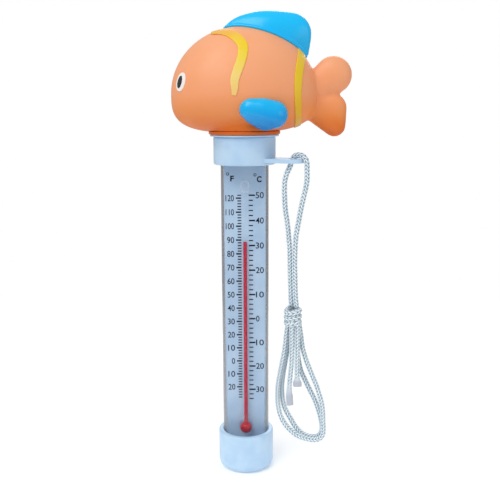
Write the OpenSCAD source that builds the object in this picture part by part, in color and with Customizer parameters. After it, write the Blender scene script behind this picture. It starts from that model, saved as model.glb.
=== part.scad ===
// Floating pool thermometer: a clear tube with a spirit thermometer and its scale card inside,
// a weighted lower cap, an upper cap with a cord lug, and a hollow vinyl fish that keeps it afloat.
// The origin is the middle of the lower cap's flat underside, and the tube stands along +Z.
// The fish faces -X and the scale is read from -Y.

/* [Tube] */
// Outside diameter of the clear tube
tube_od = 24; // [23:0.5:25]
// Wall of the clear tube
tube_wall = 1.2; // [1:0.1:1.4]
// Length of tube that shows between the two caps
tube_show = 140; // [136:1:150]

/* [Caps] */
// Outside diameter of the lower cap
lower_cap_d = 28.8; // [28:0.2:31]
// Height of the lower cap
lower_cap_h = 20.4; // [20:0.2:24]
// Radius of the lower cap's bottom edge
lower_cap_round = 4; // [2:0.5:5]
// Outside diameter of the upper cap
upper_cap_d = 31; // [30:0.5:33]
// Height of the upper cap's skirt
upper_cap_h = 13.9; // [12.9:0.1:16]
// Diameter of the flange that the float stands on
flange_d = 34.4; // [33:0.2:35]
// Thickness of that flange
flange_t = 0.9; // [0.8:0.1:1.2]
// Thickness of the rubber ring at each end of the tube
gasket_t = 1.4; // [1:0.1:1.6]

/* [Cord lug] */
// Direction of the lug, turned about the tube from +X
lug_turn = -30; // [-45:5:-20]
// Distance from the tube's axis to the lug's hole
lug_reach = 26.4; // [25:0.2:28]
// Width of the lug
lug_w = 11.6; // [10:0.2:13]
// Thickness of the lug
lug_t = 2; // [1.6:0.1:2.4]
// Diameter of the lug's hole
lug_hole_d = 5; // [4.8:0.1:5.4]

/* [Scale and thermometer] */
// Width of the scale card
card_w = 21; // [19:0.2:21]
// Height of the scale card
card_h = 150; // [145:0.5:154]
// Outside diameter of the glass stem
stem_d = 3.8; // [3.6:0.1:4]
// Diameter of the bore in the stem
stem_bore_d = 2; // [1.6:0.1:2.2]
// Outside diameter of the glass bulb
bulb_d = 6.8; // [6.2:0.2:7]
// Height on the scale of ten degrees Celsius
ten_celsius = 12.96; // [12.6:0.02:13.2]
// Reading of the thermometer in degrees Celsius
reading = 31.7; // [-20:0.1:45]

/* [Ballast] */
// Height of the steel ballast slug
ballast_h = 8.2; // [6:0.2:8.4]

/* [Float] */
// Reach of the fish's body ahead of its middle
fish_front = 35; // [33:0.5:37]
// Reach of the fish's body behind its middle
fish_back = 37; // [36:0.5:38]
// Rise of the back above the body's widest level
fish_up = 32.5; // [31:0.5:33]
// Depth of the belly below the body's widest level
fish_down = 18.5; // [18.5:0.1:19]
// Half of the body's width
fish_half_w = 25; // [24:0.5:26]
// Wall of the vinyl skin
skin_t = 1.8; // [1.4:0.1:2]
// Diameter of the round foot under the belly
foot_d = 35.5; // [35:0.1:36]

/* [Cord] */
// Diameter of the braided cord
cord_d = 2.8; // [2.4:0.1:2.8]

/* [Hidden] */
$fn = 72;
eps = 0.02;                    // hidden overlap that makes cuts come out clean
slide_gap = 0.05;              // radial clearance of pieces that slide into each other

tube_r = tube_od / 2;
tube_in = tube_r - tube_wall;
cap_floor = 2.4;               // thickness of the lower cap's floor
tube_low = cap_floor + gasket_t;
upper_rim = lower_cap_h + tube_show;
cap_top = upper_rim + upper_cap_h;
cap_roof = 1.8;                // plastic between the tube's ring and the top of the skirt
tube_high = cap_top - cap_roof - gasket_t;
gasket_in = 9.8;               // inside radius of the rubber rings
edge_round = 0.8;              // small rounding on the caps' edges

lug_low = upper_rim + 1.4;
lug_hole = [lug_reach * cos(lug_turn), lug_reach * sin(lug_turn), lug_low + lug_t / 2];

spigot_r = 10;                 // radius of the cap's spigot, which the float turns on
spigot_h = 21.2;               // height of the spigot above the flange
spigot_wall = 2;
spigot_lip = 0.7;              // how far the lip that keeps the float on stands out
spigot_lip_h = 1.6;

loose_r = tube_in - 0.2;       // radius of what lies loose in the tube
pad_h = 1.8;
card_low = tube_low + ballast_h + pad_h;
card_t = 0.8;
card_front = 1.5;              // y of the printed face
card_round = 1.5;
card_hole_d = bulb_d + 0.6;

stem_y = -0.5;                 // y of the stem's axis
stem_r = stem_d / 2;
bore_r = stem_bore_d / 2;
bulb_z = card_low + 6.6;
bulb_wall = 0.2;
stem_high = bulb_z + 128.9;
neck_z = bulb_z + 6.1;         // where the moving column starts
ice_z = bulb_z + 59.3;         // level of 0 degrees Celsius
column_top = ice_z + reading * ten_celsius / 10;
bead_r = 2.5;                  // outside radius of the beads of adhesive

float_z = cap_top + flange_t + 0.1;  // underside of the foot
foot_h = 5;
collar_r = 13;
collar_h = 20.5;
fish_mid = [-1, 0, float_z + 19.2];  // middle of the body at its widest level
plan_power = 2.2;              // squareness of the body seen from above
belly_power = 3.2;             // squareness of the belly seen from the side
round_power = 2.4;             // squareness of the body seen from the front
skin_steps = 20;               // slices along the body
skin_sides = 40;               // sides of one slice
paint_t = 0.5;                 // how far stripes and eyes stand proud
tail_flat = 0.62;              // thickness of the tail against its height

// Places of the tail's, fins' and stripes' round corners: [x, z above the foot, radius]
tail_upper = [[34, 21.7, 7], [43.7, 28.4, 9.2]];
tail_lower = [[35, 12.7, 7], [43, 12.3, 7.6], [44.6, 4, 5.6]];
dorsal_rounds = [[-9.2, 50.2, 1.4], [-1.5, 50.6, 5.7], [9, 45.7, 13.2], [18, 47.2, 11.2],
                 [25.4, 48.7, 7.3], [30.2, 38.4, 1.4]];
dorsal_flat = 0.56;
// Round corners of a side fin: [x, distance out from the middle, z above the foot, radius]
side_fin_rounds = [[2.9, 21.6, 12.4, 5.5], [8.5, 21.4, 11.4, 6.2], [13.9, 21, 9.6, 6.5],
                   [9.8, 19.6, 8.6, 6.5], [4.8, 20.6, 10.4, 5.5]];
// Middle line of the front stripe: [x, z above the foot, half width]
front_stripe_line = [[-15.8, 48.1, 0.8], [-10.9, 48.3, 1.5], [-6.9, 47.4, 2], [-3, 44.8, 2.3],
                     [-0.6, 41.3, 2.4], [-0.7, 37, 2.3], [-1.6, 33.6, 2.2], [-3, 29.8, 2.2],
                     [-4.4, 25.4, 2.1], [-4.4, 21.4, 1.9], [-4.8, 18.4, 1.1]];
// Middle line of the rear stripe: [x, z above the foot, half width]
rear_stripe_line = [[28.8, 44, 2.2], [27.1, 35.2, 2.1], [25.8, 28.8, 1.9],
                    [25.2, 20.9, 1.7], [25.5, 13.2, 1.7], [26.6, -2, 1.6]];

eye_place = [-31.1, 14.2, 25];     // x, distance out and z above the foot
eye_turn = 47;                     // the eye looks forward by this much
eye_lean = 12;
eye_white_size = [6.6, 8.9];
eye_pupil_size = [3.4, 6];
eye_pupil_shift = [-0.4, 0.1];

cord_sides = 8;
// Routes of the cord, counted from the middle of the lug's hole
under_route = [[0, 0, 0], [-0.6, 0, -1.8], [-1.5, 0, -4], [-2.4, 0, -5.9], [-3.1, 0, -8.1],
               [-3.5, 0, -10.5], [-3.6, 0, -14.2], [-3.5, 0, -18], [-3.1, 0, -23.9],
               [-2.1, 0, -30.5], [-1.4, 0, -37.2], [-0.9, -0.1, -43.8], [-0.7, -0.2, -50.5],
               [-0.5, -0.4, -58.9], [-0.3, -0.6, -66.5], [0.1, -0.6, -72]];
over_route = [[0, 0, 0], [0.7, -0.4, 1.7], [1.9, -1.1, 2.6], [3.5, -1.9, 2.8], [5.1, -2.8, 2.3],
              [6.4, -3.5, 0.9], [6.9, -3.8, -1.2], [7, -3.9, -4.1], [7, -3.9, -8.5],
              [6.5, -3.9, -12.5], [5.4, -3.9, -17.3], [4.1, -3.8, -23.4], [3, -3.7, -29.9],
              [1.9, -3.6, -36.5], [1.5, -3.5, -43.1], [1.4, -3.5, -49.8], [1.6, -3.4, -58.2],
              [1.9, -3.3, -65.8], [2.5, -3.3, -72]];
outer_loop = [[-0.1, -3.2, -77], [-1.7, -3.2, -81], [-2.6, -3.2, -86], [-3.3, -3.2, -93],
              [-4.7, -3.2, -101.2], [-5.8, -3.2, -107], [-6.7, -3.2, -113], [-6.9, -3.2, -119],
              [-6.5, -3.2, -123.7], [-5.5, -3.2, -128.5], [-3.4, -3.2, -133], [-0.6, -3.2, -136.6],
              [2.8, -3.2, -139.5], [7.1, -3.2, -141.4], [11.1, -3.2, -142.2], [14.2, -3.2, -141.9],
              [16.1, -3.2, -140], [16.6, -3.2, -137.1], [16.4, -3.2, -132.2], [16.2, -3.2, -127.4],
              [15.6, -3.2, -122.6], [14.3, -3.2, -117.8], [12.8, -3.2, -113.1],
              [10.9, -3.2, -108.4], [9, -3.2, -103.6], [7.3, -3.2, -98.9], [5.7, -3.2, -93],
              [4.7, -3.2, -86], [3.9, -3.2, -81], [3.1, -3.2, -77]];
inner_loop = [[-0.1, -0.2, -77], [-0.9, -0.2, -86], [-1.9, -0.2, -95], [-3, -0.2, -102.3],
              [-3.9, -0.2, -108.2], [-4.5, -0.2, -114.2], [-4.2, -0.2, -120.2], [-3.3, -0.2, -125],
              [-1.8, -0.2, -128.6], [0.2, -0.2, -132.3], [2.2, -0.2, -135.9], [4.8, -0.2, -139.2],
              [8, -0.2, -141.4], [11.4, -0.2, -142.1], [14.1, -0.2, -141.7], [15.9, -0.2, -139.7],
              [16.2, -0.2, -136], [15.3, -0.2, -131.2], [14.1, -0.2, -126.9], [12.6, -0.2, -122.6],
              [10.7, -0.2, -118.4], [8.7, -0.2, -114.3], [6.8, -0.2, -110.1], [5.1, -0.2, -106],
              [4, -0.2, -101], [3.3, -0.2, -95], [2.9, -0.2, -86], [2.9, -0.2, -77]];
long_tail = [[-0.1, -6.1, -77], [0.1, -6.2, -85], [0.1, -6.2, -94.3], [-0.1, -6.2, -100.1],
             [-0.6, -6.2, -106], [-1, -6.2, -110.6], [-1.1, -6.2, -115.3], [-0.7, -6.2, -122]];
short_tail = [[2.8, -6.1, -77], [2.9, -6.2, -85], [2.9, -6.2, -94.3], [2.8, -6.2, -100.2],
              [2.8, -6.2, -106], [3, -6.2, -112.2]];
knot_mid = [0.7, -3, -76.4];
knot_half = [4.9, 5.4, 6.2];
knot_round = 2.8;

// ---- small helpers -------------------------------------------------------------------

// Half of a turned profile with rounded outer corners at the bottom and the top
module round_profile(radius, height, low_round, high_round) {
    square([radius - low_round, low_round + eps]);
    translate([0, low_round]) square([radius, height - low_round - high_round]);
    translate([0, height - high_round - eps]) square([radius - high_round, high_round + eps]);
    translate([radius - low_round, low_round]) circle(low_round);
    translate([radius - high_round, height - high_round]) circle(high_round);
}

module ring(outer, inner, height) {
    difference() {
        cylinder(r = outer, h = height);
        translate([0, 0, -1]) cylinder(r = inner, h = height + 2);
    }
}

// Everything on one side of the fish is the mirror of the other side
module on_side(side) {
    mirror([0, side == "right" ? 1 : 0, 0]) children();
}

// ---- lower end and tube --------------------------------------------------------------

module bottom_cap() {
    color("aliceblue") difference() {
        rotate_extrude() round_profile(lower_cap_d / 2, lower_cap_h, lower_cap_round, edge_round);
        translate([0, 0, cap_floor]) cylinder(r = tube_r + slide_gap, h = lower_cap_h);
    }
}

module gasket() {
    color("dimgray") ring(tube_r, gasket_in, gasket_t);
}

module lower_gasket() {
    translate([0, 0, cap_floor]) gasket();
}

module upper_gasket() {
    translate([0, 0, tube_high]) gasket();
}

module ballast_slug() {
    color("silver") translate([0, 0, tube_low]) cylinder(r = loose_r, h = ballast_h);
}

module ballast_pad() {
    color("gainsboro") translate([0, 0, tube_low + ballast_h]) cylinder(r = loose_r, h = pad_h);
}

module tube() {
    color("lightcyan", 0.3) translate([0, 0, tube_low]) ring(tube_r, tube_in, tube_high - tube_low);
}

// ---- scale card and glass thermometer ------------------------------------------------

module card_outline() {
    translate([-card_w / 2, card_round]) square([card_w, card_h - 2 * card_round]);
    translate([card_round - card_w / 2, 0]) square([card_w - 2 * card_round, card_h]);
    for (x = [-1, 1], y = [0, 1])
        translate([x * (card_w / 2 - card_round), card_round + y * (card_h - 2 * card_round)])
            circle(card_round);
}

module scale_card() {
    color("lightsteelblue") difference() {
        translate([0, card_front + card_t, card_low])
            rotate([90, 0, 0]) linear_extrude(card_t) card_outline();
        translate([0, card_front + card_t + 1, bulb_z])
            rotate([90, 0, 0]) cylinder(d = card_hole_d, h = card_t + 2);
    }
}

module at_stem(z) {
    translate([0, stem_y, z]) children();
}

module glass_stem() {
    color("azure", 0.4) difference() {
        union() {
            at_stem(bulb_z) cylinder(r = stem_r, h = stem_high - bulb_z);
            at_stem(bulb_z) sphere(d = bulb_d);
        }
        at_stem(bulb_z) cylinder(r = bore_r, h = stem_high);
        at_stem(bulb_z) sphere(r = bulb_d / 2 - bulb_wall);
    }
}

module tip_shape() {
    difference() {
        at_stem(stem_high) sphere(r = stem_r);
        at_stem(stem_high - bead_r) cylinder(r = bead_r, h = bead_r);
    }
}

module stem_tip() {
    color("azure", 0.4) tip_shape();
}

module behind_card_face() {
    translate([-bead_r - 1, card_front, 0]) cube([2 * bead_r + 2, bead_r + 2, tube_high]);
}

// Collar of clear adhesive that fixes the stem to the card above the bulb
module neck_bead() {
    color("white", 0.5) difference() {
        at_stem(bulb_z + 4) cylinder(r = bead_r, h = 3.6);
        at_stem(bulb_z) cylinder(r = stem_r, h = 10);
        behind_card_face();
    }
}

// Drop of clear adhesive over the upper end of the stem
module tip_bead() {
    color("white", 0.5) difference() {
        union() {
            at_stem(stem_high - 3.6) cylinder(r = bead_r, h = 4.2);
            at_stem(stem_high + 0.6) sphere(r = bead_r);
        }
        at_stem(bulb_z) cylinder(r = stem_r, h = stem_high - bulb_z);
        at_stem(stem_high) sphere(r = stem_r);
        behind_card_face();
    }
}

module bulb_spirit() {
    color("crimson") union() {
        at_stem(bulb_z) sphere(r = bulb_d / 2 - bulb_wall - slide_gap);
        at_stem(bulb_z) cylinder(r = bore_r - slide_gap, h = neck_z - bulb_z);
    }
}

module spirit_column() {
    color("crimson") at_stem(neck_z) cylinder(r = bore_r - slide_gap, h = column_top - neck_z);
}

// ---- upper cap -----------------------------------------------------------------------

module lug_outline() {
    translate([upper_cap_d / 2 - 1, -lug_w / 2]) square([lug_reach - upper_cap_d / 2 + 1, lug_w]);
    translate([lug_reach, 0]) circle(d = lug_w);
}

module spigot() {
    cylinder(r = spigot_r, h = spigot_h + spigot_lip_h);
    translate([0, 0, spigot_h]) cylinder(r = spigot_r + spigot_lip, h = spigot_lip_h);
}

module upper_cap() {
    color("aliceblue") difference() {
        union() {
            translate([0, 0, upper_rim])
                rotate_extrude() round_profile(upper_cap_d / 2, upper_cap_h, edge_round, edge_round);
            translate([0, 0, cap_top - edge_round]) cylinder(d = flange_d - 3, h = edge_round + eps);
            translate([0, 0, cap_top]) cylinder(d = flange_d, h = flange_t);
            translate([0, 0, cap_top + flange_t - eps]) spigot();
            translate([0, 0, lug_low]) rotate([0, 0, lug_turn]) linear_extrude(lug_t) lug_outline();
        }
        translate([0, 0, upper_rim - 1])
            cylinder(r = tube_r + slide_gap, h = tube_high + gasket_t - upper_rim + 1);
        translate([0, 0, cap_top + flange_t])
            cylinder(r = spigot_r - spigot_wall, h = spigot_h + spigot_lip_h + 1);
        translate([lug_hole[0], lug_hole[1], lug_low - 1]) cylinder(d = lug_hole_d, h = lug_t + 2);
    }
}

// ---- float ---------------------------------------------------------------------------

// Height of a rounded-square curve of half size 1 at the distance u from its middle
function squircle(u, power) = pow(max(0, 1 - pow(abs(u), power)), 1 / power);

// One slice across the body, as points on a rounded square seen from the front
function slice_points(half_w, up, down) = [
    for (k = [0 : skin_sides - 1])
        let (a = 360 * k / skin_sides, c = cos(a), s = sin(a))
        [half_w * sign(c) * pow(abs(c), 2 / round_power),
         (s > 0 ? up : down) * sign(s) * pow(abs(s), 2 / round_power)]
];

module skin_slice(i, grow) {
    turn = 180 * i / skin_steps;
    u = min(0.9995, max(-0.9995, -cos(turn)));
    reach = (u < 0 ? fish_front : fish_back) + grow;
    half_w = (fish_half_w + grow) * squircle(u, plan_power);
    up = (fish_up + grow) * squircle(u, 2);
    down = (fish_down + grow) * squircle(u, belly_power);
    translate([fish_mid[0] + u * reach, 0, fish_mid[2]])
        rotate([90, 0, 90]) linear_extrude(eps) polygon(slice_points(half_w, up, down));
}

// The body's outside, moved out by grow
module fish_body(grow) {
    for (i = [0 : skin_steps - 1]) hull() {
        skin_slice(i, grow);
        skin_slice(i + 1, grow);
    }
}

// A plump blade along a row of round corners in the fish's middle plane
module blade(rounds, flat, grow, at_once) {
    last = len(rounds) - 1;
    for (i = [0 : at_once ? 0 : last - 1])
        hull() for (k = at_once ? [0 : last] : [i, i + 1])
            translate([rounds[k][0], 0, float_z + rounds[k][1]])
                scale([1, flat, 1]) sphere(r = rounds[k][2] + grow, $fn = 32);
}

module tail(grow) {
    blade(tail_upper, tail_flat, grow, true);
    blade(tail_lower, tail_flat, grow, true);
}

module float_shell() {
    color("sandybrown") difference() {
        union() {
            fish_body(0);
            tail(0);
        }
        fish_body(-skin_t);
        tail(-skin_t);
        translate([0, 0, float_z - 5])
            cylinder(d = foot_d + 0.1, h = foot_h + 5 + 2 * slide_gap, $fn = 96);
    }
}

// The thick neck of the moulding, which goes over the cap's spigot
module float_foot() {
    color("sandybrown") translate([0, 0, float_z]) difference() {
        union() {
            rotate_extrude() round_profile(foot_d / 2, foot_h, 0.4, 0.4);
            cylinder(r = collar_r, h = collar_h);
        }
        translate([0, 0, -1]) cylinder(r = spigot_r + slide_gap, h = collar_h + 2);
    }
}

module dorsal_shape() {
    blade(dorsal_rounds, dorsal_flat, 0, false);
}

module dorsal_fin() {
    color("deepskyblue") difference() {
        dorsal_shape();
        fish_body(0);
    }
}

// side is 1 for the fish's right, at +Y, and -1 for its left, at -Y
module side_fin(side) {
    color("deepskyblue") difference() {
        hull() for (f = side_fin_rounds)
            translate([f[0], side * f[1], float_z + f[2]]) sphere(r = f[3], $fn = 32);
        fish_body(0);
    }
}

// The thin layer that paint makes on the body, between two distances out from it
module paint_layer(from, to) {
    difference() {
        fish_body(to);
        fish_body(from);
    }
}

// A band seen from the side, as wide as the body
module band(line, low_y, high_y) {
    for (i = [0 : len(line) - 2])
        translate([0, high_y, 0]) rotate([90, 0, 0]) linear_extrude(high_y - low_y)
            hull() for (k = [i, i + 1])
                translate([line[k][0], float_z + line[k][1]]) circle(r = line[k][2], $fn = 20);
}

module front_stripe(side) {
    color("gold") intersection() {
        band(front_stripe_line, side < 0 ? -40 : 0.6, side < 0 ? -0.6 : 40);
        paint_layer(0, paint_t);
    }
}

module rear_stripe() {
    color("gold") difference() {
        intersection() {
            band(rear_stripe_line, -40, 40);
            paint_layer(0, paint_t);
        }
        dorsal_shape();
    }
}

module eye_part(side, size, shift, from, to) {
    intersection() {
        translate([eye_place[0], side * eye_place[1], float_z + eye_place[2]])
            rotate([0, 0, side * eye_turn]) translate([shift[0], 0, shift[1]])
            rotate([90, eye_lean, 0]) translate([0, 0, -5])
            linear_extrude(10) scale([size[0] / size[1], 1]) circle(d = size[1], $fn = 36);
        paint_layer(from, to);
    }
}

module eye_white(side) {
    color("white") difference() {
        eye_part(side, eye_white_size, [0, 0], 0, paint_t);
        eye_part(side, eye_pupil_size, eye_pupil_shift, -1, 2);
    }
}

module eye_pupil(side) {
    color("black") eye_part(side, eye_pupil_size, eye_pupil_shift, 0, paint_t + 0.1);
}

// ---- cord ----------------------------------------------------------------------------

function unit(v) = v / norm(v);

// Direction of the route at its point i
function heading(route, i) = unit(route[min(i + 1, len(route) - 1)] - route[max(i - 1, 0)]);

// Points of the ring around the route's point i
function cord_ring(route, i, radius) =
    let (along = heading(route, i), side = unit(cross(along, [0, 1, 0])), out = cross(side, along))
    [for (k = [0 : cord_sides - 1])
        let (a = 360 * k / cord_sides)
        lug_hole + route[i] + radius * (cos(a) * side + sin(a) * out)];

module cord(route) {
    last = len(route) - 1;
    points = [for (i = [0 : last]) each cord_ring(route, i, cord_d / 2)];
    walls = [for (i = [0 : last - 1], k = [0 : cord_sides - 1])
        let (next = (k + 1) % cord_sides, a = i * cord_sides, b = a + cord_sides)
        each [[a + k, a + next, b + next], [a + k, b + next, b + k]]];
    low_end = [for (k = [cord_sides - 1 : -1 : 0]) k];
    high_end = [for (k = [0 : cord_sides - 1]) last * cord_sides + k];
    color("white") polyhedron(points, concat(walls, [low_end, high_end]));
}

module cord_knot() {
    reach = knot_half - [1, 1, 1] * knot_round;
    color("white") translate(lug_hole + knot_mid) hull()
        for (x = [-1, 1], y = [-1, 1], z = [-1, 1])
            translate([x * reach[0], y * reach[1], z * reach[2]]) sphere(r = knot_round, $fn = 24);
}

// ---- the object ----------------------------------------------------------------------

bottom_cap();
lower_gasket();
ballast_slug();
ballast_pad();
tube();
scale_card();
glass_stem();
stem_tip();
neck_bead();
tip_bead();
bulb_spirit();
spirit_column();
upper_gasket();
upper_cap();
float_foot();
float_shell();
dorsal_fin();
side_fin(-1);  // left_side_fin
side_fin(1);  // right_side_fin
front_stripe(-1);  // left_front_stripe
front_stripe(1);  // right_front_stripe
rear_stripe();
eye_white(-1);  // left_eye_white
eye_white(1);  // right_eye_white
eye_pupil(-1);  // left_eye_pupil
eye_pupil(1);  // right_eye_pupil
cord(under_route);  // cord_under_strand
cord(over_route);  // cord_over_strand
cord_knot();
cord(outer_loop);  // cord_outer_loop
cord(inner_loop);  // cord_inner_loop
cord(long_tail);  // cord_long_tail
cord(short_tail);  // cord_short_tail
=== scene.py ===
# %% [markdown]
# # A floating pool thermometer with a fish on top
# A clear tube holds a printed card and a red spirit thermometer. White caps close the tube, a hollow vinyl
# fish keeps it upright in the water, and a braided cord ties it to the pool's edge. The frame is the packed
# model, in metres: the tube stands along +Z on the lower cap and the scale is read from -Y.

# %% Load the frame
import math

import bpy
import numpy as np
from mathutils import Matrix, Vector


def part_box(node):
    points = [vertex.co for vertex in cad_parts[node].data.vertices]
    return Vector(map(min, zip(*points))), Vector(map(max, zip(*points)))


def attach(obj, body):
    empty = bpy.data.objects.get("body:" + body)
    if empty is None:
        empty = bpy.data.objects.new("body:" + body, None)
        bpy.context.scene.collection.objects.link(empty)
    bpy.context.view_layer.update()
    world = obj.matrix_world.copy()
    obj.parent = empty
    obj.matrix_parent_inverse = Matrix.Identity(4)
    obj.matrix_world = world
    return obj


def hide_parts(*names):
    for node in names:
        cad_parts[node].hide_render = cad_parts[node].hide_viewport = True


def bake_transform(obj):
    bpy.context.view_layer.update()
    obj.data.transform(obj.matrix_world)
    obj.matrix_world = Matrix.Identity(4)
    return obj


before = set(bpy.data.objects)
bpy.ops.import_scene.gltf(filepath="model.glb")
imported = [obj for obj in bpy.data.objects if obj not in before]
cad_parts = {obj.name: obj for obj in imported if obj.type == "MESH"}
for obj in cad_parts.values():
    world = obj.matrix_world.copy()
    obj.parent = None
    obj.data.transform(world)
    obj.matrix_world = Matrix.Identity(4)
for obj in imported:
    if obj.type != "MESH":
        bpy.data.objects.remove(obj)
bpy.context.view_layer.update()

MM = 0.001

# %% [markdown]
# ## The camera and the light
# A product shot of a tall thin object is taken from a little above its middle, so that the caps show as
# ovals. The world is a white dome: it lights every side softly, and the camera sees it as white paper. One
# large lamp from the upper left gives the forms their direction, and a weak one fills the right.

# %% Camera
def add_object(name, data):
    """A new object in the scene, at the origin."""
    thing = bpy.data.objects.new(name, data)
    bpy.context.scene.collection.objects.link(thing)
    return thing


CAMERA_PLACE = (0, -0.3687, 0.18816)
CAMERA_TILT = 79.71
CAMERA_ROLL = -0.32
SENSOR_WIDTH = 36

camera_data = bpy.data.cameras.new("studio_camera")
camera_data.sensor_width = SENSOR_WIDTH
camera_data.lens = 52.88
camera_data.shift_x = 0.0099
camera_data.clip_start = 0.01
camera = add_object("studio_camera", camera_data)
bpy.context.scene.camera = camera
turn = Matrix.Rotation(math.radians(CAMERA_TILT), 4, "X") @ Matrix.Rotation(math.radians(CAMERA_ROLL), 4, "Z")
camera.matrix_world = Matrix.Translation(CAMERA_PLACE) @ turn
bpy.context.scene.view_settings.view_transform = "Standard"
print("camera:", camera_data.lens, "mm lens,", round(camera.location.length, 2), "m from the origin")


# %% Lamps and the white dome
def lamp(name, place, aim, size, power):
    """A square soft lamp that looks at a point."""
    data = bpy.data.lights.new(name, "AREA")
    data.shape = "SQUARE"
    data.size = size
    data.energy = power
    light = add_object(name, data)
    light.location = place
    light.rotation_euler = (Vector(aim) - Vector(place)).to_track_quat("-Z", "Y").to_euler()
    print(name, "gives", power, "W")


FISH_AIM = (0, 0, 0.19)
lamp("key_lamp", (-0.45, -0.6, 0.95), FISH_AIM, 0.8, 7.0)
lamp("fill_lamp", (0.8, -0.5, 0.3), FISH_AIM, 0.6, 1.2)
lamp("back_lamp", (0.2, 0.9, 0.7), FISH_AIM, 0.7, 3.5)

world = bpy.data.worlds.new("white_dome")
world.use_nodes = True
bpy.context.scene.world = world
dome = world.node_tree.nodes["Background"]
dome.inputs["Color"].default_value = (1, 1, 1, 1)
DOME_SEEN, DOME_LIGHT = 1.0, 0.52
rays = world.node_tree.nodes.new("ShaderNodeLightPath")
strength = world.node_tree.nodes.new("ShaderNodeMapRange")
strength.inputs["To Min"].default_value = DOME_LIGHT
strength.inputs["To Max"].default_value = DOME_SEEN
world.node_tree.links.new(rays.outputs["Is Camera Ray"], strength.inputs["Value"])
world.node_tree.links.new(strength.outputs["Result"], dome.inputs["Strength"])

# %% [markdown]
# ## A small kit for materials
# Node trees are easiest to read as formulas. `Wire` wraps a socket, and arithmetic on it adds Math nodes.
# `Finish` holds one material, and its `node` method adds any other node.


# %% Colours and sockets
def colour(code):
    """The linear colour of a #rrggbb code, with alpha 1."""
    parts = [int(code[i : i + 2], 16) / 255 for i in (1, 3, 5)]
    linear = [c / 12.92 if c <= 0.04045 else ((c + 0.055) / 1.055) ** 2.4 for c in parts]
    return (*linear, 1)


class Wire:
    """A socket of a finish. Sums, products and comparisons of wires add Math nodes."""

    def __init__(self, finish, socket):
        self.finish, self.socket = finish, socket

    def maths(self, operation, first, second=0.0):
        return self.finish.node("Math", {"operation": operation}, {0: first, 1: second})

    def __add__(self, other):
        return self.maths("ADD", self, other)

    def __sub__(self, other):
        return self.maths("SUBTRACT", self, other)

    def __rsub__(self, other):
        return self.maths("SUBTRACT", other, self)

    def __mul__(self, other):
        return self.maths("MULTIPLY", self, other)

    def __pow__(self, other):
        return self.maths("POWER", self, other)

    def __mod__(self, other):
        return self.maths("MODULO", self, other)

    __radd__ = __add__
    __rmul__ = __mul__

    def part(self, name):
        """FLOOR, FRACT, ABSOLUTE or SINE of this wire."""
        return self.maths(name, self)


# %% Finishes
class Finish:
    """One material, with its Principled shader."""

    def __init__(self, name, base, roughness, **fixed):
        self.material = bpy.data.materials.new(name)
        self.material.use_nodes = True
        self.tree = self.material.node_tree
        self.shader = self.tree.nodes["Principled BSDF"]
        self.set("Base Color", colour(base) if isinstance(base, str) else base)
        self.set("Roughness", roughness)
        for socket, value in fixed.items():
            self.set(socket.replace("_", " "), value)

    def set(self, socket, value):
        self.plug(self.shader.inputs[socket], value)

    def plug(self, socket, value):
        if isinstance(value, Wire):
            self.tree.links.new(value.socket, socket)
        else:
            socket.default_value = value

    def node(self, kind, settings=None, sockets=None, output=0):
        """Adds a node. Its settings come first, then the values or links of its sockets."""
        node = self.tree.nodes.new("ShaderNode" + kind)
        for name, value in (settings or {}).items():
            if name == "stops":
                ramp = node.color_ramp.elements
                while len(ramp) < len(value):
                    ramp.new(1)
                for element, (place, shade) in zip(ramp, value):
                    element.position, element.color = place, shade
            else:
                setattr(node, name, value)
        for socket, value in (sockets or {}).items():
            self.plug(node.inputs[socket], value)
        return Wire(self, node.outputs[output])

    def place(self):
        """Object coordinates, which are the frame's own metres."""
        return self.node("TexCoord", output="Object")

    def axis(self, name):
        return self.node("SeparateXYZ", {}, {0: self.place()}, output=name)

    def noise(self, size, detail=3.0, stretch=(1, 1, 1)):
        """Cloudy variation from 0 to 1, with lumps of about that size in metres."""
        lumps = self.node("Mapping", {}, {"Vector": self.place(), "Scale": stretch})
        return self.node("TexNoise", {}, {"Vector": lumps, "Scale": 1 / size, "Detail": detail})

    def ramp(self, wire, low, high):
        """0 where the wire is at low, 1 where it is at high, and smooth between."""
        settings = {"interpolation_type": "SMOOTHSTEP"}
        return self.node("MapRange", settings, {"Value": wire, "From Min": low, "From Max": high})

    def mix(self, share, first, second):
        """From the first colour to the second as share goes from 0 to 1."""
        first, second = (colour(c) if isinstance(c, str) else c for c in (first, second))
        return self.node("Mix", {"data_type": "RGBA"}, {0: share, 6: first, 7: second}, output=2)

    def bump(self, height, strength, distance):
        normal = self.node("Bump", {}, {"Strength": strength, "Distance": distance, "Height": height})
        self.set("Normal", normal)

    def wrap(self, piece):
        """Puts this finish on a piece in place of what it has."""
        piece.data.materials.clear()
        piece.data.materials.append(self.material)
        return piece

    def report(self):
        """Prints how big the node tree is, and hands the finish on."""
        print("finish", self.material.name, "has", len(self.tree.nodes), "nodes")
        return self


def mottled(name, first, second, lumps, roughness, spread, relief, depth, detail=3, **fixed):
    """A finish whose colour, roughness and relief all follow one cloud, with lumps of that size."""
    finish = Finish(name, first, roughness, **fixed)
    cloud = finish.noise(lumps, detail)
    finish.set("Base Color", finish.mix(cloud, first, second))
    finish.set("Roughness", roughness + cloud * spread)
    finish.bump(cloud, relief, depth)
    return finish.report()


# %% [markdown]
# ## A small kit for modelling
# Most pieces here are turned parts, like the caps and the glass, or soft moulded lumps, like the fish. A
# turned part starts as a circle whose edge loop is extruded upwards and resized at each station of the
# profile. A soft lump is a few balls in one tight skin, remeshed and smoothed until no seam is left.


# %% Selecting, naming and modifiers
def let_go():
    """Leaves edit mode and selects nothing."""
    if bpy.context.object is not None and bpy.context.object.mode != "OBJECT":
        bpy.ops.object.mode_set(mode="OBJECT")
    bpy.ops.object.select_all(action="DESELECT")


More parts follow.
